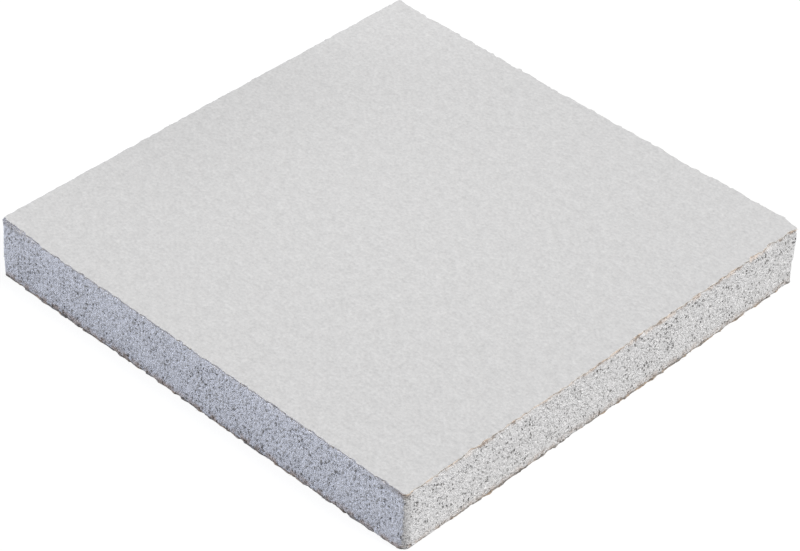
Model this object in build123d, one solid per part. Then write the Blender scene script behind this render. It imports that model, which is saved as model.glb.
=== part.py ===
# Square sample cut from a gypsum drywall sheet.
# A foamed gypsum core lies between a light face paper and a brown back paper.
# Millimetres, +Z up. The back paper lies on the floor, and the origin is the middle of the
# underside, between the mean cut lines.
# Front is -Y, right is +X. Corners run front left, front right, back right, back left.

import os
from math import sin, sqrt

from build123d import *

# The sheet between its mean cut lines, and its layers
sheet_width = 98.0
sheet_depth = 98.0
sheet_thickness = 12.7
face_paper_thickness = 0.35
back_paper_thickness = 0.4

# How far the front, right, back and left cut faces of the core stand in from the mean cut
# lines, and how far the right one leans in at its foot
core_setbacks = (0.0, 0.0, 0.05, 0.15)
right_face_lean = 0.1

# Heights above the foot of the core at which its corners change: top of the crushed foot,
# the fullest part of the arris, and the start of the worn head
crush_rise = 2.2
bulge_rise = 4.3
neck_rise = 10.2

# Plan radius of the four worn corners at each level, from the foot of the core to its head
foot_radii = (0.2, 1.5, 0.4, 0.6)
crush_radii = (0.2, 0.7, 0.6, 0.6)
bulge_radii = (0.1, 0.5, 0.3, 0.5)
neck_radii = (0.8, 0.6, 0.1, 0.5)
head_radii = (1.1, 0.8, 0.5, 0.5)

# Mean line of the tear along each side of a paper, straight between a few stations: how far
# along the side, as a share of it, and how far outside the mean cut line. Front, right, back
# and left, each run anticlockwise.
face_tears = (
    (
        (0.00, -0.52), (0.04, -0.48), (0.09, 0.06), (0.16, 0.12), (0.30, -0.02), (0.53, 0.04),
        (0.69, -0.10), (0.95, 0.00), (1.00, -0.20),
    ),
    (
        (0.00, -0.05), (0.28, -0.04), (0.34, 0.16), (0.47, 0.10), (0.53, -0.06), (0.78, -0.04),
        (1.00, 0.05),
    ),
    (
        (0.00, -0.12), (0.16, 0.05), (0.26, -0.15), (0.46, -0.02), (0.53, -0.20), (0.70, 0.00),
        (0.92, 0.08), (0.97, 0.10), (1.00, 0.46),
    ),
    ((0.00, -0.24), (0.50, -0.05), (0.80, -0.16), (1.00, -0.26)),
)
back_tears = (
    (
        (0.00, -0.12), (0.12, 0.10), (0.28, 0.02), (0.40, -0.12), (0.50, 0.00), (0.95, -0.05),
        (1.00, -0.34),
    ),
    (
        (0.00, -0.50), (0.07, -0.34), (0.20, 0.02), (0.42, -0.24), (0.50, -0.09), (0.60, 0.00),
        (0.84, -0.20), (1.00, -0.16),
    ),
    ((0.00, -0.10), (1.00, -0.10)),
    ((0.00, -0.20), (1.00, -0.20)),
)

# Shallow scallops that the blade tears out of the papers: spacing, unevenness, the deepest
# scallop on each side, and the mean bow of a whole side as a share of its deepest one
scallop_pitch = 3.1
scallop_drift = 0.28
face_scallops = (0.26, 0.26, 0.26, 0.08)
back_scallops = (0.22, 0.26, 0.26, 0.12)
mean_bow = 0.43

# Chips broken out of the head of the right face: distance from its back end, length and depth
head_chips = (
    (7.6, 2.4, 0.50),
    (12.6, 1.7, 0.38),
    (41.0, 1.5, 0.30),
    (83.0, 1.9, 0.34),
)

# Notch in the back right arris, below the face
arris_notch_drop = 8.0
arris_notch_length = 1.3
arris_notch_depth = 0.35

# Levels and sides that follow from the sizes above
foot_height = back_paper_thickness
head_height = sheet_thickness - face_paper_thickness
core_height = head_height - foot_height
half_width = sheet_width / 2
half_depth = sheet_depth / 2

# Distance of the front, right, back and left mean cut lines from the middle of the sheet
side_reaches = (half_depth, half_width, half_depth, half_width)

# Plan directions along the front, right, back and left sides, and outwards from them
alongs = (Vector(1, 0, 0), Vector(0, 1, 0), Vector(-1, 0, 0), Vector(0, -1, 0))
outwards = (Vector(0, -1, 0), Vector(1, 0, 0), Vector(0, 1, 0), Vector(-1, 0, 0))


def right_side_at(height):
    """X of the right cut face of the core at a height: it leans in towards its foot."""
    lean = right_face_lean * (head_height - height) / core_height
    return half_width - core_setbacks[1] - lean


def straight_side(start, end, side):
    """One side of the core at one level."""
    return [Line(start, end)]


def tear_at(stations, share):
    """Height of a tear line at a share of its side, straight between its stations."""
    for (before, low), (after, high) in zip(stations, stations[1:]):
        if share <= after:
            return low + (high - low) * (share - before) / (after - before)
    return stations[-1][1]


def torn_side(tears, depths):
    """Returns a maker of torn paper sides, whose arcs bow inward between uneven teeth."""

    def side_edges(start, end, side):
        length = (end - start).dot(alongs[side])
        count = max(2, round(length / scallop_pitch))
        drift = [scallop_drift * sin(2.4 * i + 1.7 * side) for i in range(count + 1)]
        drift[0] = 0
        drift[count] = 0
        teeth = []
        for i in range(count + 1):
            share = (i + drift[i]) / count
            rise = tear_at(tears[side], share) - tears[side][0][1]
            teeth.append(start + alongs[side] * (share * length) + outwards[side] * rise)
        edges = []
        for i in range(count):
            bow = depths[side] * (0.3 + 0.7 * abs(sin(1.9 * i + 0.8 * side)))
            middle = (teeth[i] + teeth[i + 1]) / 2 - outwards[side] * bow
            edges.append(ThreePointArc(teeth[i], middle, teeth[i + 1]))
        return edges

    return side_edges


def layer_outline(corners, radii, side_edges):
    """Outline of a layer, anticlockwise from its front left corner, as a face."""
    edges = []
    for side, corner in enumerate(corners):
        next_side = (side + 1) % len(corners)
        arriving = alongs[side - 1]
        leaving = alongs[side]
        radius = radii[side]
        arc_start = corner - arriving * radius
        arc_end = corner + leaving * radius
        arc_middle = corner - (arriving - leaving) * radius * (1 - 1 / sqrt(2))
        edges.append(ThreePointArc(arc_start, arc_middle, arc_end))
        side_end = corners[next_side] - leaving * radii[next_side]
        edges.extend(side_edges(arc_end, side_end, side))
    return make_face(edges)


def chip(surface_point, outward, length, depth):
    """Ball that breaks a hollow of this length and depth out of the surface it meets."""
    radius = (length**2 / 4 + depth**2) / (2 * depth)
    centre = surface_point + outward.normalized() * (radius - depth)
    return Location(centre) * Sphere(radius)


def edge_chips():
    """All the chips: along the head of the right face, and in the back right arris."""
    chips = []
    for from_back, length, depth in head_chips:
        on_edge = Vector(right_side_at(head_height), half_depth - from_back, sheet_thickness)
        chips.append(chip(on_edge, Vector(1, 0, 0), length, depth))
    notch_height = sheet_thickness - arris_notch_drop
    arris_inset = bulge_radii[2] * (1 - 1 / sqrt(2))
    on_arris = Vector(
        right_side_at(notch_height) - arris_inset,
        half_depth - core_setbacks[2] - arris_inset,
        notch_height,
    )
    chips.append(chip(on_arris, Vector(1, 1, 0), arris_notch_length, arris_notch_depth))
    return chips


def gypsum_core():
    """Core lofted through its worn outlines, from the crushed foot to the head."""
    levels = (
        (foot_height, foot_radii),
        (foot_height + crush_rise, crush_radii),
        (foot_height + bulge_rise, bulge_radii),
        (foot_height + neck_rise, neck_radii),
        (head_height, head_radii),
    )
    front = core_setbacks[0] - half_depth
    back = half_depth - core_setbacks[2]
    left = core_setbacks[3] - half_width
    outlines = []
    for height, radii in levels:
        right = right_side_at(height)
        corners = [Vector(x, y, height) for x, y in
                   ((left, front), (right, front), (right, back), (left, back))]
        outlines.append(layer_outline(corners, radii, straight_side))
    return loft(outlines, ruled=True) - edge_chips()


def paper(height, thickness, radii, tears, depths):
    """Torn paper whose scallops bow in about the mean lines of its tears."""
    corners = []
    for side in range(4):
        into = side_reaches[side - 1] + tears[side - 1][-1][1] + depths[side - 1] * mean_bow
        out_of = side_reaches[side] + tears[side][0][1] + depths[side] * mean_bow
        corner = outwards[side - 1] * into + outwards[side] * out_of
        corners.append(Vector(corner.X, corner.Y, height))
    outline = layer_outline(corners, radii, torn_side(tears, depths))
    return extrude(outline, thickness, dir=(0, 0, 1))


def face_paper():
    """Face paper, flush with the top of the sheet, broken where the core is chipped."""
    whole = paper(head_height, face_paper_thickness, head_radii, face_tears, face_scallops)
    return whole - edge_chips()


def back_paper():
    """Back paper under the core, following its crushed foot."""
    return paper(0, back_paper_thickness, foot_radii, back_tears, back_scallops)


os.makedirs("parts", exist_ok=True)
export_step(gypsum_core(), "parts/gypsum_core.step")
export_step(face_paper(), "parts/face_paper.step")
export_step(back_paper(), "parts/back_paper.step")
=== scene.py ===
import math

import bpy
import numpy as np
from mathutils import Matrix, Vector
from mathutils.bvhtree import BVHTree
from mathutils.geometry import delaunay_2d_cdt


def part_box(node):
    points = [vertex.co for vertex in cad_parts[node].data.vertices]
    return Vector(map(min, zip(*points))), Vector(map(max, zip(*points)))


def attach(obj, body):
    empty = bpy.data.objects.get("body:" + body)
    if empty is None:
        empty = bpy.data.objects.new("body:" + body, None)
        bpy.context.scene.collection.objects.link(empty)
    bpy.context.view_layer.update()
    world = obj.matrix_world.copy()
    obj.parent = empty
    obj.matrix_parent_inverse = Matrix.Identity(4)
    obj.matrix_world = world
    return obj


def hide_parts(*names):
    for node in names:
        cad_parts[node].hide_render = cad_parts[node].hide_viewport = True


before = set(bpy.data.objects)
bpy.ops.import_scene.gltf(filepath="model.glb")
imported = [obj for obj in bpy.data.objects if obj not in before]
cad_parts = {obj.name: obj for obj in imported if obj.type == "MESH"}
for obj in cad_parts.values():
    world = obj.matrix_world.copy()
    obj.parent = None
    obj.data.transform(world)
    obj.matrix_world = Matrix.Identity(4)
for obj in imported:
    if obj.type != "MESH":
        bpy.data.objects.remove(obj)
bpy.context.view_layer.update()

# Lengths are in millimetres up to the moment a mesh is made
MM = 0.001

# Heights of the layers and the sheet's reach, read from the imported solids
foot_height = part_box("gypsum_core")[0].z / MM
head_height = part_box("gypsum_core")[1].z / MM
sheet_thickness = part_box("face_paper")[1].z / MM
half_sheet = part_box("gypsum_core")[1].x / MM


class Nodes:
    """A node tree being written: one method adds any node, the others are short forms of it."""

    def __init__(self, tree):
        self.tree = tree

    def add(self, kind, settings=None, values=None, output=0):
        """Adds a node, sets it up, feeds its sockets, and gives one of its outputs."""
        node = self.tree.nodes.new(kind)
        for name, value in (settings or {}).items():
            setattr(node, name, value)
        for name, value in (values or {}).items():
            self.feed(node.inputs[name], value)
        return Field(self, node.outputs[output])

    def feed(self, socket, value):
        """Gives a socket a link or a plain value."""
        if isinstance(value, Field):
            self.tree.links.new(value.socket, socket)
        else:
            socket.default_value = value

    def noise(self, place, size, detail=2.0, roughness=0.5, output=0):
        """Soft noise whose features are about size across."""
        values = {"Vector": place, "Scale": 1 / size, "Detail": detail, "Roughness": roughness}
        return self.add("ShaderNodeTexNoise", values=values, output=output)

    def cells(self, place, spacing, output=0):
        """Distance to the nearest scattered point, in spacings, or that point's random colour."""
        values = {"Vector": place, "Scale": 1 / spacing}
        return self.add("ShaderNodeTexVoronoi", values=values, output=output)

    def pores(self, place, spacing, inner, outer):
        """1 inside scattered round spots, each of its own strength, and 0 between them."""
        away = self.cells(place, spacing)
        chance = self.part(self.cells(place, spacing, output=1), 0)
        return (1 - self.ramp(away, inner, outer)) * self.ramp(chance, 0.15, 0.75)

    def random_vector(self, low, high, seed):
        """A vector drawn between two others, for each instance."""
        values = {0: low, 1: high, "Seed": seed}
        return self.add("FunctionNodeRandomValue", {"data_type": "FLOAT_VECTOR"}, values)

    def colour(self, rgba):
        """A plain colour as a field."""
        source = self.tree.nodes.new("ShaderNodeRGB")
        source.outputs[0].default_value = rgba
        return Field(self, source.outputs[0])

    def part(self, vector, axis):
        """One component of a vector."""
        return self.add("ShaderNodeSeparateXYZ", values={0: vector}, output=axis)

    def ramp(self, value, low, high):
        """0 below low, 1 above high and smooth between."""
        settings = {"interpolation_type": "SMOOTHSTEP"}
        values = {"Value": value, "From Min": low, "From Max": high}
        return self.add("ShaderNodeMapRange", settings, values)

    def blend(self, first, second, share):
        """Colour between two colours."""
        settings = {"data_type": "RGBA"}
        return self.add("ShaderNodeMix", settings, {0: share, 6: first, 7: second}, output=2)

    def times(self, vector, factors):
        """Vector with each component multiplied by its own factor."""
        return self.add("ShaderNodeVectorMath", {"operation": "MULTIPLY"}, {0: vector, 1: factors})


class Field:
    """A socket in an expression: values go through Math nodes and vectors through Vector Math."""

    def __init__(self, nodes, socket):
        self.nodes = nodes
        self.socket = socket

    def is_vector(self):
        """Whether it carries three numbers instead of one."""
        return self.socket.type in ("VECTOR", "RGBA")

    def maths(self, operation, first, second=0.0):
        """One operation on two fields, or on a field and a number."""
        sides = (first, second)
        vectors = [isinstance(side, Field) and side.is_vector() for side in sides]
        if not any(vectors):
            values = {0: first, 1: second}
            return self.nodes.add("ShaderNodeMath", {"operation": operation}, values)
        if operation == "MULTIPLY" and not all(vectors):
            vector, number = sides if vectors[0] else (second, first)
            values = {0: vector, "Scale": number}
            return self.nodes.add("ShaderNodeVectorMath", {"operation": "SCALE"}, values)
        spread = [side if isinstance(side, Field) else (side,) * 3 for side in sides]
        values = {0: spread[0], 1: spread[1]}
        return self.nodes.add("ShaderNodeVectorMath", {"operation": operation}, values)

    def __add__(self, other):
        return self.maths("ADD", self, other)

    def __radd__(self, other):
        return self.maths("ADD", other, self)

    def __sub__(self, other):
        return self.maths("SUBTRACT", self, other)

    def __rsub__(self, other):
        return self.maths("SUBTRACT", other, self)

    def __mul__(self, other):
        return self.maths("MULTIPLY", self, other)

    def __truediv__(self, other):
        return self.maths("DIVIDE", self, other)

    def __rtruediv__(self, other):
        return self.maths("DIVIDE", other, self)

    def __pow__(self, other):
        return self.maths("POWER", self, other)

    def above(self, floor):
        return self.maths("MAXIMUM", self, floor)

    def below(self, ceiling):
        return self.maths("MINIMUM", self, ceiling)


# Plan directions out of the front, right, back and left sides
OUTWARDS = np.array(((0, -1), (1, 0), (0, 1), (-1, 0)))

# Rays that find the outlines of the solids: the plan radius at which they turn the corners, how
# far outside the sheet they start, how far they go, and the side steps tried where one slips by
RAY_CORNER = 2.3
RAY_REACH = 2.0
RAY_LENGTH = 5.0
RAY_SLIPS = (0.0, 0.004, -0.004, 0.013, -0.013)


def ray_ring(pitch):
    """Places just outside the sheet, anticlockwise from its front left, and the way out there."""
    middle = half_sheet - RAY_CORNER
    reach = RAY_CORNER + RAY_REACH
    turns = np.linspace(0, math.pi / 2, round(RAY_CORNER * math.pi / 2 / pitch), endpoint=False)
    steps = np.linspace(-middle, middle, round(2 * middle / pitch), endpoint=False)
    places, outward = [], []
    for out in OUTWARDS:
        along = np.array((-out[1], out[0]))
        bend = out * np.sin(turns)[:, None] - along * np.cos(turns)[:, None]
        places += [(out - along) * middle + bend * reach]
        places += [along * steps[:, None] + out * (middle + reach)]
        outward += [bend, np.repeat(out[None], len(steps), 0)]
    return np.concatenate(places), np.concatenate(outward)


def solid_shape(name):
    """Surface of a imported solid, in millimetres, that rays can be cast at."""
    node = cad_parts[name]
    corners = [node.matrix_world @ vertex.co / MM for vertex in node.data.vertices]
    return BVHTree.FromPolygons(corners, [tuple(face.vertices) for face in node.data.polygons])


def outline_at(shape, places, outward, height):
    """Where level rays from outside meet a solid at a height, or just beside that place."""
    hits = []
    for (x, y), (out_x, out_y) in zip(places.tolist(), outward.tolist()):
        inward = Vector((-out_x, -out_y, 0))
        starts = (Vector((x - out_y * slip, y + out_x * slip, height + slip)) for slip in RAY_SLIPS)
        tries = (shape.ray_cast(start, inward, RAY_LENGTH)[0] for start in starts)
        hit = next(found for found in tries if found)
        hits.append((hit.x, hit.y))
    return np.array(hits)


# Worn spots round the head, at the front left corner, the back right and back left ones and
# beside these two: their places, as shares of the half sheet, how far they reach, and how far
# they draw the edge aside. They fade over the worn height below the head of the core.
WORN_SPOTS = (
    ((-1, -1), 1.7, (-0.30, -0.15)),
    ((1, 1), 2.2, (0.20, -0.62)),
    ((0.93, 1), 4.5, (0.0, 0.26)),
    ((-1, 1), 1.0, (0.05, -0.40)),
    ((-0.96, 1), 1.8, (0.0, 0.20)),
)
WORN_HEIGHT = 1.2


def worn(plan, share):
    """An outline with its spots drawn aside by a share of their wear."""
    for spot, reach, shift in WORN_SPOTS:
        away = np.linalg.norm(plan - half_sheet * np.array(spot), axis=1)
        near = np.clip(1 - away / reach, 0, 1)
        plan = plan + share * near[:, None] * shift
    return plan


def ring_quads(levels, count):
    """Faces between closed rings of count points, stacked upwards, seen from outside."""
    point = np.arange(count)
    after = (point + 1) % count
    rows = [np.stack((k + point, k + after, k + count + after, k + count + point), 1)
            for k in range(0, (levels - 1) * count, count)]
    return np.concatenate(rows).tolist()


def new_piece(name, points, faces):
    """Mesh object at the origin, from points in millimetres."""
    mesh = bpy.data.meshes.new(name)
    mesh.from_pydata((np.asarray(points) * MM).tolist(), [], faces)
    piece = bpy.data.objects.new(name, mesh)
    bpy.context.scene.collection.objects.link(piece)
    return piece


def settle(piece):
    """Turns a piece with modifiers into a plain mesh."""
    evaluated = piece.evaluated_get(bpy.context.evaluated_depsgraph_get())
    mesh = bpy.data.meshes.new_from_object(evaluated)
    piece.modifiers.clear()
    old = piece.data
    piece.data = mesh
    bpy.data.meshes.remove(old)
    mesh.name = piece.name
    return piece


def points_of(piece):
    """The piece's vertices, in millimetres."""
    places = np.empty(len(piece.data.vertices) * 3, np.float32)
    piece.data.vertices.foreach_get("co", places)
    return places.reshape(-1, 3).astype(float) / MM


def geometry_tree(name, inputs):
    """Geometry node tree with named number inputs, and a field for each."""
    tree = bpy.data.node_groups.new(name, "GeometryNodeTree")
    tree.interface.new_socket("Geometry", in_out="INPUT", socket_type="NodeSocketGeometry")
    for label in inputs:
        tree.interface.new_socket(label, in_out="INPUT", socket_type="NodeSocketFloat")
    tree.interface.new_socket("Geometry", in_out="OUTPUT", socket_type="NodeSocketGeometry")
    nodes = Nodes(tree)
    entry = tree.nodes.new("NodeGroupInput")
    fields = {socket.name: Field(nodes, socket) for socket in entry.outputs if socket.name}
    return nodes, fields


def end_tree(nodes, geometry, material):
    """Makes instances real, gives them their material and closes the tree."""
    real = nodes.add("GeometryNodeRealizeInstances", values={"Geometry": geometry})
    dressed = nodes.add("GeometryNodeSetMaterial", values={"Geometry": real, "Material": material})
    leaving = nodes.tree.nodes.new("NodeGroupOutput")
    nodes.feed(leaving.inputs[0], dressed)
    return nodes.tree


def apply_tree(piece, tree, inputs):
    """Adds a tree to a piece as a modifier, with its inputs set by socket identifier."""
    modifier = piece.modifiers.new(tree.name, "NODES")
    modifier.node_group = tree
    for item in tree.interface.items_tree:
        if item.in_out == "INPUT" and item.name in inputs:
            modifier[item.identifier] = inputs[item.name]


# Core: the foam of the cut faces. Its skin has this pitch, its rays keep this far from the foot
# and the head, and it is thinned to this many triangles.
CORE_PITCH = 0.14
EDGE_MISS = 0.02
CORE_FACES = 196000

# Relief of the foam: how far bubbles are drawn out of round, where the small ones are taken
# from, the least size of a bubble as a share of the largest, and the mean depth, which is
# taken off so that the cut faces stay in place
CORE_WARP = 0.5
SMALL_BUBBLE_SHIFT = 31.7
LEAST_BUBBLE = 0.35
MEAN_RELIEF = 0.18
CORE_INPUTS = {
    "Large spacing": 0.85,
    "Large radius": 0.36,
    "Small spacing": 0.44,
    "Small radius": 0.22,
    "Crumble height": 0.18,
    "Wave height": 0.12,
}


def core_relief_tree(material):
    """Breaks bubbles, crumbs and slow waves into the upright faces of the core."""
    nodes, field = geometry_tree("cut_foam", CORE_INPUTS)
    place = nodes.add("GeometryNodeInputPosition") * (1 / MM)
    warp = nodes.noise(place, 0.5, detail=2, output=1) - 0.5
    warped = place + warp * CORE_WARP
    shifted = warped + SMALL_BUBBLE_SHIFT
    large = bubble_depth(nodes, warped, field["Large spacing"], field["Large radius"])
    small = bubble_depth(nodes, shifted, field["Small spacing"], field["Small radius"])
    crumble = nodes.noise(place, 0.45, detail=3, roughness=0.6) * field["Crumble height"]
    wave = nodes.noise(place, 7.0, detail=2) * field["Wave height"]
    inward = (large.above(small) + crumble + wave - MEAN_RELIEF) * -MM
    level = nodes.times(nodes.add("GeometryNodeInputNormal"), (1, 1, 0))
    values = {"Geometry": field["Geometry"], "Offset": level * inward}
    return end_tree(nodes, nodes.add("GeometryNodeSetPosition", values=values), material)


def bubble_depth(nodes, place, spacing, radius):
    """Depth of the nearest cut bubble: a ball of random radius at each scattered point."""
    away = nodes.cells(place, spacing) * spacing
    share = nodes.part(nodes.cells(place, spacing, output=1), 0)
    size = radius * (LEAST_BUBBLE + share * (1 - LEAST_BUBBLE))
    return (size * size - away * away).above(0.0) ** 0.5


def build_core(material):
    """Dense skin over the solid, foamed by the tree and thinned where it is flat."""
    shape = solid_shape("gypsum_core")
    level_count = 1 + round((head_height - foot_height) / CORE_PITCH)
    levels = np.linspace(foot_height, head_height, level_count)
    places, outward = ray_ring(CORE_PITCH)
    rings = []
    for height in levels:
        inside = min(max(height, foot_height + EDGE_MISS), head_height - EDGE_MISS)
        wear = max(0, 1 - (head_height - height) / WORN_HEIGHT)
        plan = worn(outline_at(shape, places, outward, inside), wear)
        rings.append(np.column_stack((plan, np.full(len(plan), height))))
    count = len(places)
    faces = ring_quads(len(rings), count)
    top = (len(rings) - 1) * count
    faces += [list(range(count))[::-1], list(range(top, top + count))]
    core = new_piece("core_cut_foam", np.concatenate(rings), faces)
    apply_tree(core, core_relief_tree(material), CORE_INPUTS)
    thin = core.modifiers.new("thin", "DECIMATE")
    triangles = 2 * (len(faces) - 2) + 2 * (count - 2)
    thin.ratio = CORE_FACES / triangles
    settle(core)
    core.data.shade_smooth()
    store_number(core, "pit_depth", [depth_in(shape, place) for place in points_of(core)])
    return core


def depth_in(shape, place):
    """How far a point lies inside a solid, or less than nothing outside it."""
    hit, normal, _, distance = shape.find_nearest(Vector(place))
    return math.copysign(distance, (hit - Vector(place)).dot(normal))


def store_number(piece, name, values):
    """Keeps one number for each vertex, for the finish to read."""
    attribute = piece.data.attributes.new(name, "FLOAT", "POINT")
    attribute.data.foreach_set("value", np.asarray(values, np.float32))


# Papers: a torn rim of several plies round a felted sheet, with the pitch of the rim's points
# and of the sheet's
RIM_PITCH = 0.16
SHEET_PITCH = 0.5

# Depth of the tear round a paper, of the snags along its back edge and of the fray of each ply,
# each with its length along the edge. The snags grow over a stretch from the right side.
TEAR = 0.22
TEAR_SIZE = 0.7
BACK_SNAGS = 0.45
SNAG_SIZE = 1.6
SNAG_GROWTH = 12
FRAY = 0.10
FRAY_SIZE = 0.45

# The sheet's points: how far from the rim they start, how far in they are twice as close, and
# how far each strays, as a share of the pitch
FELT_MARGIN = 1.1
FINE_FELT = 2.2
FELT_STRAY = 0.3


def ragged(girth, count, size, random):
    """Broken line of random heights from 0 to 1 round a closed edge."""
    knots = max(8, round(girth / size))
    places = np.sort(random.uniform(0, girth, knots))
    return np.interp(np.linspace(0, girth, count, endpoint=False), places,
                     random.uniform(0, 1, knots), period=girth)


def well_apart(points, gap):
    """Numbers of the points of a line that lie at least a gap beyond the one kept before."""
    kept = [0]
    for i, point in enumerate(points):
        if np.linalg.norm(point - points[kept[-1]]) >= gap:
            kept.append(i)
    return kept


def build_paper(name, node, plies, seed, face_up):
    """A paper with a torn rim, and the line of that rim.

    Each ply is a share of the thickness, from the outer face, and how far it stands in.
    """
    random = np.random.default_rng(seed)
    low, high = (corner.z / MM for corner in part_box(node))
    places, outward = ray_ring(RIM_PITCH)
    rim = outline_at(solid_shape(node), places, outward, (low + high) / 2)
    if face_up:
        rim = worn(rim, 1)
    apart = well_apart(rim, RIM_PITCH / 2)
    rim, outward = rim[apart], outward[apart]
    count = len(rim)
    girth = count * RIM_PITCH
    tear = TEAR * (ragged(girth, count, TEAR_SIZE, random) - 0.5)
    from_right = np.clip((half_sheet - rim[:, 0]) / SNAG_GROWTH, 0, 1)
    at_back = np.clip(outward[:, 1], 0, 1) * from_right
    snags = BACK_SNAGS * (ragged(girth, count, SNAG_SIZE, random) - 0.5) * at_back
    rim += outward * (tear + snags)[:, None]
    outer, inner = (high, low) if face_up else (low, high)
    rings = []
    for share, setback in plies:
        fray = setback + FRAY * (ragged(girth, count, FRAY_SIZE, random) - 0.5)
        plan = rim - outward * fray[:, None]
        height = outer + (inner - outer) * share
        rings.append(np.column_stack((plan, np.full(count, height))))
    felt, felt_faces = felt_sheet(rings[0][:, :2], random)
    faces = ring_quads(len(rings), count)
    if face_up:
        faces = [quad[::-1] for quad in faces]
    first = len(rings) * count - count
    felt_faces = [[i if i < count else i + first for i in face] for face in felt_faces]
    faces += felt_faces if face_up else [face[::-1] for face in felt_faces]
    hidden = list(range(first, first + count))
    faces.append(hidden[::-1] if face_up else hidden)
    rings.append(np.column_stack((felt, np.full(len(felt), outer))))
    return new_piece(name, np.concatenate(rings), faces), rim


def felt_sheet(rim, random):
    """Points scattered within a torn rim, closer together near it, and triangles over them all.

    The triangles number the rim's points first and the scattered ones after.
    """
    felt = []
    bands = ((SHEET_PITCH / 2, FELT_MARGIN, FINE_FELT), (SHEET_PITCH, FINE_FELT, half_sheet))
    for pitch, nearest, farthest in bands:
        steps = np.arange(-half_sheet, half_sheet, pitch)
        grid = np.stack(np.meshgrid(steps, steps), -1).reshape(-1, 2)
        grid += random.uniform(-FELT_STRAY, FELT_STRAY, grid.shape) * pitch
        depth = half_sheet - np.abs(grid).max(1)
        felt.append(grid[(depth > nearest) & (depth <= farthest)])
    felt = np.concatenate(felt)
    count = len(rim)
    loop = [(i, (i + 1) % count) for i in range(count)]
    points = [Vector(place) for place in np.concatenate((rim, felt))]
    _, _, faces, origins, _, _ = delaunay_2d_cdt(points, loop, [], 1, 1e-7, True)
    faces = [[origins[i][0] for i in face] for face in faces]
    return felt, [face for face in faces if not bridges_notch(face, count)]


def bridges_notch(face, count):
    """Whether a triangle spans a notch: all three points on the rim, clockwise along it."""
    first = face.index(min(face))
    return max(face) < count and face[first - 2] > face[first - 1]


# A little over a full turn, in radians
FULL_TURN = 6.3

# Crumbs of gypsum left on the cut faces, where the squared rise of the normal is below this.
# Their sizes are radii.
STEEP = 0.3
CRUMB_INPUTS = {"Crumbs a mm2": 0.7, "Smallest": 0.05, "Largest": 0.12, "Seed": 4.0}


def crumb_tree(material):
    """Scatters small flattened lumps over the upright faces of a mesh."""
    nodes, field = geometry_tree("loose_crumbs", CRUMB_INPUTS)
    normal = nodes.add("GeometryNodeInputNormal")
    upright = nodes.part(normal, 2)
    compared = {0: upright * upright, 1: STEEP}
    on_cut = nodes.add("FunctionNodeCompare", {"operation": "LESS_THAN"}, compared)
    values = {"Mesh": field["Geometry"], "Selection": on_cut, "Seed": field["Seed"]}
    values["Density"] = field["Crumbs a mm2"] * (1 / MM ** 2)
    points = nodes.add("GeometryNodeDistributePointsOnFaces", values=values)
    lump = nodes.add("GeometryNodeMeshIcoSphere", values={"Radius": MM, "Subdivisions": 1})
    turn = nodes.random_vector((0, 0, 0), (FULL_TURN, FULL_TURN, FULL_TURN), 1)
    size = nodes.random_vector((0, 0, 0), (1, 1, 1), 2)
    size = size * (field["Largest"] - field["Smallest"]) + field["Smallest"]
    values = {"Points": points, "Instance": lump, "Rotation": turn, "Scale": size}
    return end_tree(nodes, nodes.add("GeometryNodeInstanceOnPoints", values=values), material)


def build_crumbs(core, material):
    """All the crumbs on the core, as one mesh."""
    crumbs = bpy.data.objects.new("gypsum_crumbs", core.data.copy())
    bpy.context.scene.collection.objects.link(crumbs)
    apply_tree(crumbs, crumb_tree(material), CRUMB_INPUTS)
    return settle(crumbs)


# Fibres that stand out of the torn rims
FIBRE_INPUTS = {
    "Count": 700.0,
    "Length": 0.55,
    "Radius": 0.014,
    "Lowest tilt": 0.0,
    "Highest tilt": 0.0,
}
SHORTEST_FIBRE = (0.4, 0.4, 0.4)


def fibre_tree(name, material):
    """Sets short bent fibres along a closed line of edges."""
    nodes, field = geometry_tree(name, FIBRE_INPUTS)
    line = nodes.add("GeometryNodeMeshToCurve", values={"Mesh": field["Geometry"]})
    values = {"Curve": line, "Count": field["Count"]}
    points = nodes.add("GeometryNodeCurveToPoints", {"mode": "COUNT"}, values)
    values = {"Resolution": 4, "Start": (0, 0, 0), "Middle": (0.6 * MM, 0, 0)}
    values["End"] = (MM, 0.35 * MM, 0)
    bend = nodes.add("GeometryNodeCurveQuadraticBezier", values=values)
    thick = field["Radius"] / field["Length"] * MM
    section = nodes.add("GeometryNodeCurvePrimitiveCircle", values={"Resolution": 3, "Radius": thick})
    values = {"Curve": bend, "Profile Curve": section, "Fill Caps": True}
    fibre = nodes.add("GeometryNodeCurveToMesh", values=values)
    low = nodes.add("ShaderNodeCombineXYZ", values={0: 0.0, 1: field["Highest tilt"] * -1, 2: 0.0})
    values = {0: 0.0, 1: field["Lowest tilt"] * -1, 2: FULL_TURN}
    high = nodes.add("ShaderNodeCombineXYZ", values=values)
    turn = nodes.random_vector(low, high, 3)
    size = nodes.random_vector(SHORTEST_FIBRE, (1, 1, 1), 4) * field["Length"]
    values = {"Points": points, "Instance": fibre, "Rotation": turn, "Scale": size}
    return end_tree(nodes, nodes.add("GeometryNodeInstanceOnPoints", values=values), material)


def build_fibres(name, rim, height, lowest, highest, material):
    """Fibres round a paper's rim, at one height, tilted between two angles."""
    count = len(rim)
    fibres = new_piece(name, np.column_stack((rim, np.full(count, height))), [])
    fibres.data.edges.add(count)
    ends = np.stack((np.arange(count), (np.arange(count) + 1) % count), 1)
    fibres.data.edges.foreach_set("vertices", ends.ravel())
    inputs = {**FIBRE_INPUTS, "Lowest tilt": lowest, "Highest tilt": highest}
    apply_tree(fibres, fibre_tree(name, material), inputs)
    return settle(fibres)


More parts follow.
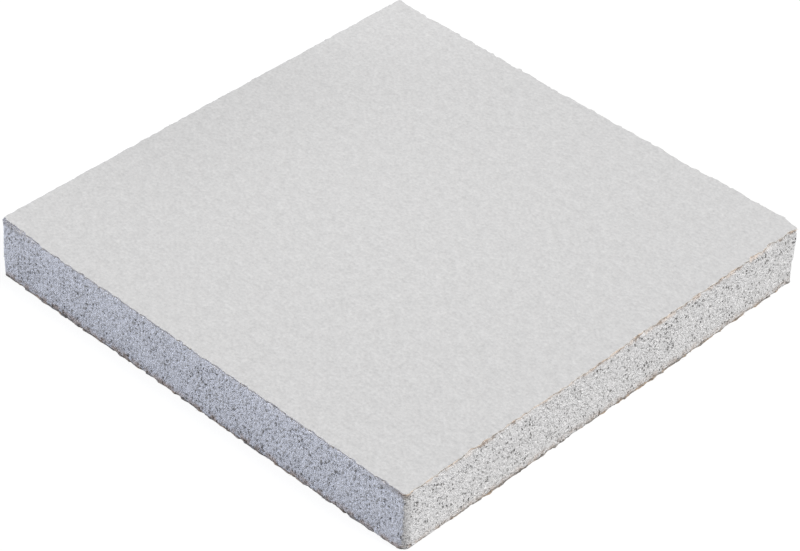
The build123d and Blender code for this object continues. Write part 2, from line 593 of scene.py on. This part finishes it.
def new_finish(name, roughness):
    """An empty material, its nodes and its shader."""
    material = bpy.data.materials.new(name)
    material.use_nodes = True
    nodes = Nodes(material.node_tree)
    shader = material.node_tree.nodes["Principled BSDF"]
    shader.inputs["Roughness"].default_value = roughness
    return material, nodes, shader


def object_place(nodes):
    """Place on the piece, in millimetres."""
    return nodes.add("ShaderNodeTexCoord", output=3) * (1 / MM)


def raise_relief(nodes, shader, relief):
    """Shades a finish as if its surface rose by a relief, in metres."""
    bump = nodes.add("ShaderNodeBump", values={"Height": relief, "Distance": 1.0, "Strength": 1.0})
    nodes.feed(shader.inputs["Normal"], bump)


def on_right_face(nodes, across):
    """1 on the right cut face and 0 elsewhere, from the place across the sheet."""
    return nodes.ramp(across, half_sheet - 2.0, half_sheet - 0.8)


GYPSUM = (0.93, 0.93, 0.93, 1)
GYPSUM_PIT_SHADE = (0.28, 0.27, 0.26, 1)
PAPER_DUST = (0.87, 0.77, 0.69, 1)
FOOT_SCUFF_AND_SHADE = (0.48, 0.36, 0.27, 1)
HEAD_BROWN = (0.30, 0.21, 0.15, 1)
HEAD_STAIN_AND_SHADE = (0.16, 0.12, 0.09, 1)


def gypsum_finish():
    """Chalky foam with painted shade inside its bubbles and pores, and bright grains; the pores and
    grains are too fine to model.
    """
    material, nodes, shader = new_finish("gypsum_foam", roughness=0.95)
    place = object_place(nodes)
    across, along, height = (nodes.part(place, axis) for axis in range(3))
    tall = nodes.times(place, (1.12, 1.12, 0.80))
    skin = nodes.ramp(height, head_height - 1.5, head_height - 0.5)
    hollow = nodes.add("ShaderNodeAttribute", {"attribute_name": "pit_depth"}, output=2)
    warped = tall + (nodes.noise(place, 0.4, detail=2, output=1) - 0.5) * 0.45
    crowd = nodes.ramp(nodes.noise(place, 3.0, detail=2), 0.42, 0.62)
    share = 0.35 + crowd * 0.65
    whole = 1 - skin * 0.5
    pore = nodes.pores(warped, 0.34, 0.15, 0.50) * share * whole
    hole = nodes.pores(warped + 17.0, 0.72, 0.15, 0.38) * share * whole
    grain = nodes.ramp(nodes.noise(tall, 0.22, detail=2, roughness=0.7), 0.34, 0.66)
    lump = nodes.noise(place, 0.9, detail=2)
    # Painted shade: the colour turns dark grey in deep bubble pits and in the larger pores, where the
    # foam stands in shade
    tone = nodes.blend(GYPSUM, GYPSUM_PIT_SHADE, (nodes.ramp(hollow, 0.20, 0.56) + hole).below(1.0))
    # The small pores darken the colour too, as painted shade
    light = (0.74 + grain * 0.45 + lump * 0.16) * (1 - pore * 0.70)
    # The front face is made darker towards the foot and along its right arris
    front = 1 - nodes.ramp(along, 0.6 - half_sheet, 2.2 - half_sheet)
    rise = (height - foot_height) / (head_height - foot_height)
    arris = nodes.ramp(across, half_sheet - 0.8, half_sheet - 0.2) * front
    light = light.below(1.0) * (1 - front * (1 - rise) * 0.10) * (1 - arris * 0.22)
    dusted = nodes.blend(tone * light, PAPER_DUST, head_dust(nodes, place))
    dusted = nodes.blend(dusted, HEAD_BROWN, head_tears(nodes, place))
    # Brown scuffs and painted shade at the foot, stronger on the front face, which stands in shade
    scuffed_and_shaded = nodes.blend(dusted, FOOT_SCUFF_AND_SHADE, foot_scuff_and_shade(nodes, place) * (0.55 + front * 0.25))
    # Painted shade with brown marks under the face paper's edge, at the head of the front face near
    # both front corners
    by_right = nodes.ramp(across, half_sheet - 9.0, half_sheet - 0.5)
    by_left = 1 - nodes.ramp(across, 1.5 - half_sheet, 13.0 - half_sheet)
    by_head = nodes.ramp(height, head_height - 1.1, head_height - 0.3)
    stain_and_shade = by_head * front * (by_right + by_left * 0.7)
    nodes.feed(shader.inputs["Base Color"], nodes.blend(scuffed_and_shaded, HEAD_STAIN_AND_SHADE, stain_and_shade * 0.50))
    relief = grain * (0.12 * MM) - pore * (0.17 * MM) - hole * (0.32 * MM)
    raise_relief(nodes, shader, relief)
    return material


def head_dust(nodes, place):
    """How far tan fluff covers the core below the face paper: in stretches, most at the right."""
    across, along, height = (nodes.part(place, axis) for axis in range(3))
    below_face = nodes.ramp(height + nodes.noise(place, 0.5), head_height - 0.4, head_height + 0.3)
    stretches = nodes.ramp(nodes.noise(nodes.times(place, (1, 1, 0.3)), 3.0, detail=4), 0.42, 0.58)
    right = on_right_face(nodes, across)
    far = 0.45 + nodes.ramp(along, -25.0, 20.0) * 0.55
    return stretches * below_face * (0.10 + right * far * 0.75)


def head_tears(nodes, place):
    """How far dark torn ply hangs over the head of the right face: in short ragged stretches."""
    across, height = (nodes.part(place, axis) for axis in (0, 2))
    below_face = nodes.ramp(height + nodes.noise(place, 0.6) * 1.4, head_height, head_height + 0.7)
    stretches = nodes.ramp(nodes.noise(place + 21.0, 2.4, detail=3, roughness=0.6), 0.50, 0.60)
    return below_face * stretches * on_right_face(nodes, across) * 0.75


def foot_scuff_and_shade(nodes, place):
    """How far brown scuffs and painted shade cover the core above the back paper."""
    height = nodes.part(place, 2)
    above_back = 1 - nodes.ramp(height, foot_height, foot_height + 1.7)
    return nodes.ramp(nodes.noise(place + 3.0, 1.3, detail=3), 0.36, 0.60) * above_back


FACE_GREY = (0.576, 0.569, 0.542, 1)
PLY_TAN = (0.68, 0.56, 0.46, 1)
PLY_GREY = (0.52, 0.49, 0.46, 1)
PLY_DARK = (0.11, 0.085, 0.065, 1)


def face_paper_finish():
    """Grey-white felt over an inner ply: grey at the left, tan at the right, with dark nicks."""
    material, nodes, shader = new_finish("face_liner", roughness=0.9)
    place = object_place(nodes)
    across, along, height = (nodes.part(place, axis) for axis in range(3))
    drawn = nodes.times(place, (0.85, 1, 1))
    fibres = nodes.noise(drawn, 0.55, detail=4, roughness=0.75)
    felt = nodes.noise(drawn, 1.8, detail=3, roughness=0.6)
    # Painted uneven light on the top face: darker towards the left edge, lighter towards the far
    # corner and the middle
    left_shade = 1 - nodes.ramp(across, -half_sheet, -0.4 * half_sheet)
    left_shade = left_shade * (1 - nodes.ramp(along.maths("ABSOLUTE", along), 10.0, 42.0))
    far_corner = nodes.ramp(along - across, 1.1 * half_sheet, 1.9 * half_sheet)
    middle = 1 - nodes.ramp((across * across + along * along) ** 0.5, 0.0, 1.1 * half_sheet)
    slow = 0.99 - left_shade * 0.045 + far_corner * 0.05 + middle * 0.025
    grey = (0.54 + fibres * 0.61 + felt * 0.24) * slow * nodes.colour(FACE_GREY)
    patch = nodes.noise(place, 2.2, detail=3, roughness=0.6)
    right = on_right_face(nodes, across)
    torn = nodes.blend(PLY_GREY, PLY_TAN, nodes.ramp(patch, 0.42, 0.56) * (0.15 + right * 0.85))
    nick = nodes.ramp(nodes.noise(place + 9.0, 0.9, detail=3, roughness=0.7), 0.50, 0.62)
    torn = nodes.blend(torn, PLY_DARK, nick * (0.55 + right * 0.25))
    inner = 1 - nodes.ramp(height, sheet_thickness - 0.13, sheet_thickness - 0.09)
    nodes.feed(shader.inputs["Base Color"], nodes.blend(grey, torn, inner))
    relief = nodes.noise(place, 0.4, detail=4, roughness=0.7) * (0.03 * MM) + felt * (0.05 * MM)
    raise_relief(nodes, shader, relief)
    return material


BACK_BROWN = (0.42, 0.33, 0.25, 1)
BACK_GREY = (0.30, 0.28, 0.26, 1)
BACK_DARK = (0.06, 0.05, 0.04, 1)


def back_paper_finish():
    """Raw grey-brown board, with darker torn stretches along its edge."""
    material, nodes, shader = new_finish("back_liner", roughness=0.9)
    place = object_place(nodes)
    fibres = nodes.noise(place, 0.45, detail=4, roughness=0.75)
    patch = nodes.noise(place, 2.4, detail=3, roughness=0.6)
    colour = nodes.blend(BACK_GREY, BACK_BROWN, nodes.ramp(patch, 0.42, 0.60))
    dark = nodes.ramp(nodes.noise(place + 5.0, 0.8, detail=3, roughness=0.7), 0.46, 0.60)
    colour = nodes.blend(colour, BACK_DARK, dark * 0.75) * (0.6 + fibres * 0.8)
    nodes.feed(shader.inputs["Base Color"], colour)
    return material


def place_piece(piece, node, material):
    """Gives a finished piece its material and its body, and hides the solid it stands for."""
    piece.data.materials.clear()
    piece.data.materials.append(material)
    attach(piece, "root")
    if node:
        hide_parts(node)


# Plies of each paper, as shares of its thickness from its outer face, and how far each stands in
FACE_PLIES = ((0.0, 0.06), (0.12, 0.0), (0.32, 0.0), (0.36, 0.04), (0.7, 0.0), (1.0, 0.04))
BACK_PLIES = ((0.0, 0.04), (0.2, 0.0), (0.5, 0.03), (0.8, 0.0), (1.0, 0.04))
FACE_SEED = 11
BACK_SEED = 12

# Heights and lowest and highest tilts, in radians, at which fibres stand out of each paper
FACE_FIBRES = (head_height + 0.12, -0.3, 0.3)
BACK_FIBRES = (0.2, 0.0, 0.5)

gypsum_material = gypsum_finish()
core = build_core(gypsum_material)
place_piece(core, "gypsum_core", gypsum_material)

crumbs = build_crumbs(core, gypsum_material)
place_piece(crumbs, None, gypsum_material)

face_material = face_paper_finish()
face, face_rim = build_paper("face_paper_liner", "face_paper", FACE_PLIES, FACE_SEED, True)
place_piece(face, "face_paper", face_material)

face_fibres = build_fibres("face_paper_fibres", face_rim, *FACE_FIBRES, face_material)
place_piece(face_fibres, None, face_material)

back_material = back_paper_finish()
back, back_rim = build_paper("back_paper_liner", "back_paper", BACK_PLIES, BACK_SEED, False)
place_piece(back, "back_paper", back_material)

back_fibres = build_fibres("back_paper_fibres", back_rim, *BACK_FIBRES, back_material)
place_piece(back_fibres, None, back_material)


# Floor: white to the eye, pale to the light, and it keeps the sheet's shadow. Its size and drop
# are in metres.
FLOOR_SIZE = 4.0
FLOOR_DROP = 0.00005
FLOOR_PALE = (0.40, 0.40, 0.40, 1)
FLOOR_SEEN = (0.10, 0.10, 0.10, 1)
FLOOR_GLOW = 0.92


def seen_directly(nodes):
    """1 for rays from the camera, and for those that gloss or glass passes on."""
    path = {name: nodes.add("ShaderNodeLightPath", output=name)
            for name in ("Is Camera Ray", "Is Glossy Ray", "Is Transmission Ray")}
    return (path["Is Camera Ray"] + path["Is Glossy Ray"] + path["Is Transmission Ray"]).below(1.0)


def build_floor():
    """A wide level square just under the sheet."""
    half = FLOOR_SIZE / 2 / MM
    drop = -FLOOR_DROP / MM
    corners = [(-half, -half, drop), (half, -half, drop), (half, half, drop), (-half, half, drop)]
    floor = new_piece("studio_floor", corners, [(0, 1, 2, 3)])
    material, nodes, shader = new_finish("studio_floor", roughness=1.0)
    tree = material.node_tree
    shader.inputs["Base Color"].default_value = FLOOR_SEEN
    shader.inputs["Specular IOR Level"].default_value = 0
    shader.inputs["Emission Color"].default_value = (1, 1, 1, 1)
    shader.inputs["Emission Strength"].default_value = FLOOR_GLOW
    pale = nodes.add("ShaderNodeBsdfDiffuse", values={"Color": FLOOR_PALE})
    seen = seen_directly(nodes)
    mixed = nodes.add("ShaderNodeMixShader", values={0: seen, 1: pale})
    tree.links.new(shader.outputs[0], mixed.socket.node.inputs[2])
    tree.links.new(mixed.socket, tree.nodes["Material Output"].inputs[0])
    floor.data.materials.append(material)


# Light: an even sky, a warmer lamp from the right and a cool one from the left. Each lamp's
# direction is the way to it, and its spread is in degrees.
SKY_LEVEL = 0.25
KEY_LEVEL = 0.97
KEY_COLOUR = (1.0, 0.985, 0.98)
KEY_FROM = (0.66, 0.16, 0.73)
KEY_SPREAD = 14
FILL_LEVEL = 0.85
FILL_COLOUR = (0.715, 0.775, 0.98)
FILL_FROM = (-0.75, -0.55, 0.36)
FILL_SPREAD = 16


def build_lights():
    """The sky and the two lamps."""
    world = bpy.data.worlds.new("studio")
    world.use_nodes = True
    bpy.context.scene.world = world
    nodes = Nodes(world.node_tree)
    sky = world.node_tree.nodes["Background"]
    sky.inputs["Color"].default_value = (1, 1, 1, 1)
    seen = seen_directly(nodes)
    nodes.feed(sky.inputs["Strength"], SKY_LEVEL + seen * (1 - SKY_LEVEL))
    distant_lamp("key", KEY_FROM, KEY_LEVEL, KEY_COLOUR, KEY_SPREAD)
    distant_lamp("fill", FILL_FROM, FILL_LEVEL, FILL_COLOUR, FILL_SPREAD)


def distant_lamp(name, origin, level, colour, spread):
    """A lamp from one direction: level 1 shows a white surface that faces it as white."""
    data = bpy.data.lights.new(name, "SUN")
    data.energy = level * math.pi
    data.color = colour
    data.angle = math.radians(spread)
    lamp = bpy.data.objects.new(name, data)
    lamp.rotation_euler = Vector(origin).to_track_quat("Z", "Y").to_euler()
    bpy.context.scene.collection.objects.link(lamp)


# Camera: placed by the outline of the sheet, with no lens shift. Angles are in degrees.
CAMERA_AZIMUTH = 43.407
CAMERA_ELEVATION = 38.903
CAMERA_ROLL = 1.558
CAMERA_DISTANCE = 514.77
CAMERA_ASIDE = 0.163
CAMERA_RAISED = -9.312
CAMERA_LENS = 133.42
CAMERA_SENSOR = 36.0


def build_camera():
    """Looks down over the front right corner, at the middle of the top face."""
    azimuth, elevation, roll = (
        math.radians(angle) for angle in (CAMERA_AZIMUTH, CAMERA_ELEVATION, CAMERA_ROLL)
    )
    back = Vector((
        math.sin(azimuth) * math.cos(elevation),
        -math.cos(azimuth) * math.cos(elevation),
        math.sin(elevation),
    ))
    level = Vector((math.cos(azimuth), math.sin(azimuth), 0))
    up = back.cross(level)
    top = Vector((0, 0, sheet_thickness))
    place = top + back * CAMERA_DISTANCE + level * CAMERA_ASIDE + up * CAMERA_RAISED
    across = level * math.cos(roll) + up * math.sin(roll)
    upward = up * math.cos(roll) - level * math.sin(roll)
    turn = Matrix((across, upward, back)).transposed()
    data = bpy.data.cameras.new("camera")
    data.sensor_width = CAMERA_SENSOR
    data.lens = CAMERA_LENS
    camera = bpy.data.objects.new("camera", data)
    camera.matrix_world = Matrix.Translation(place * MM) @ turn.to_4x4()
    bpy.context.scene.collection.objects.link(camera)
    bpy.context.scene.camera = camera


build_floor()
build_lights()
build_camera()
bpy.context.scene.view_settings.view_transform = "Standard"
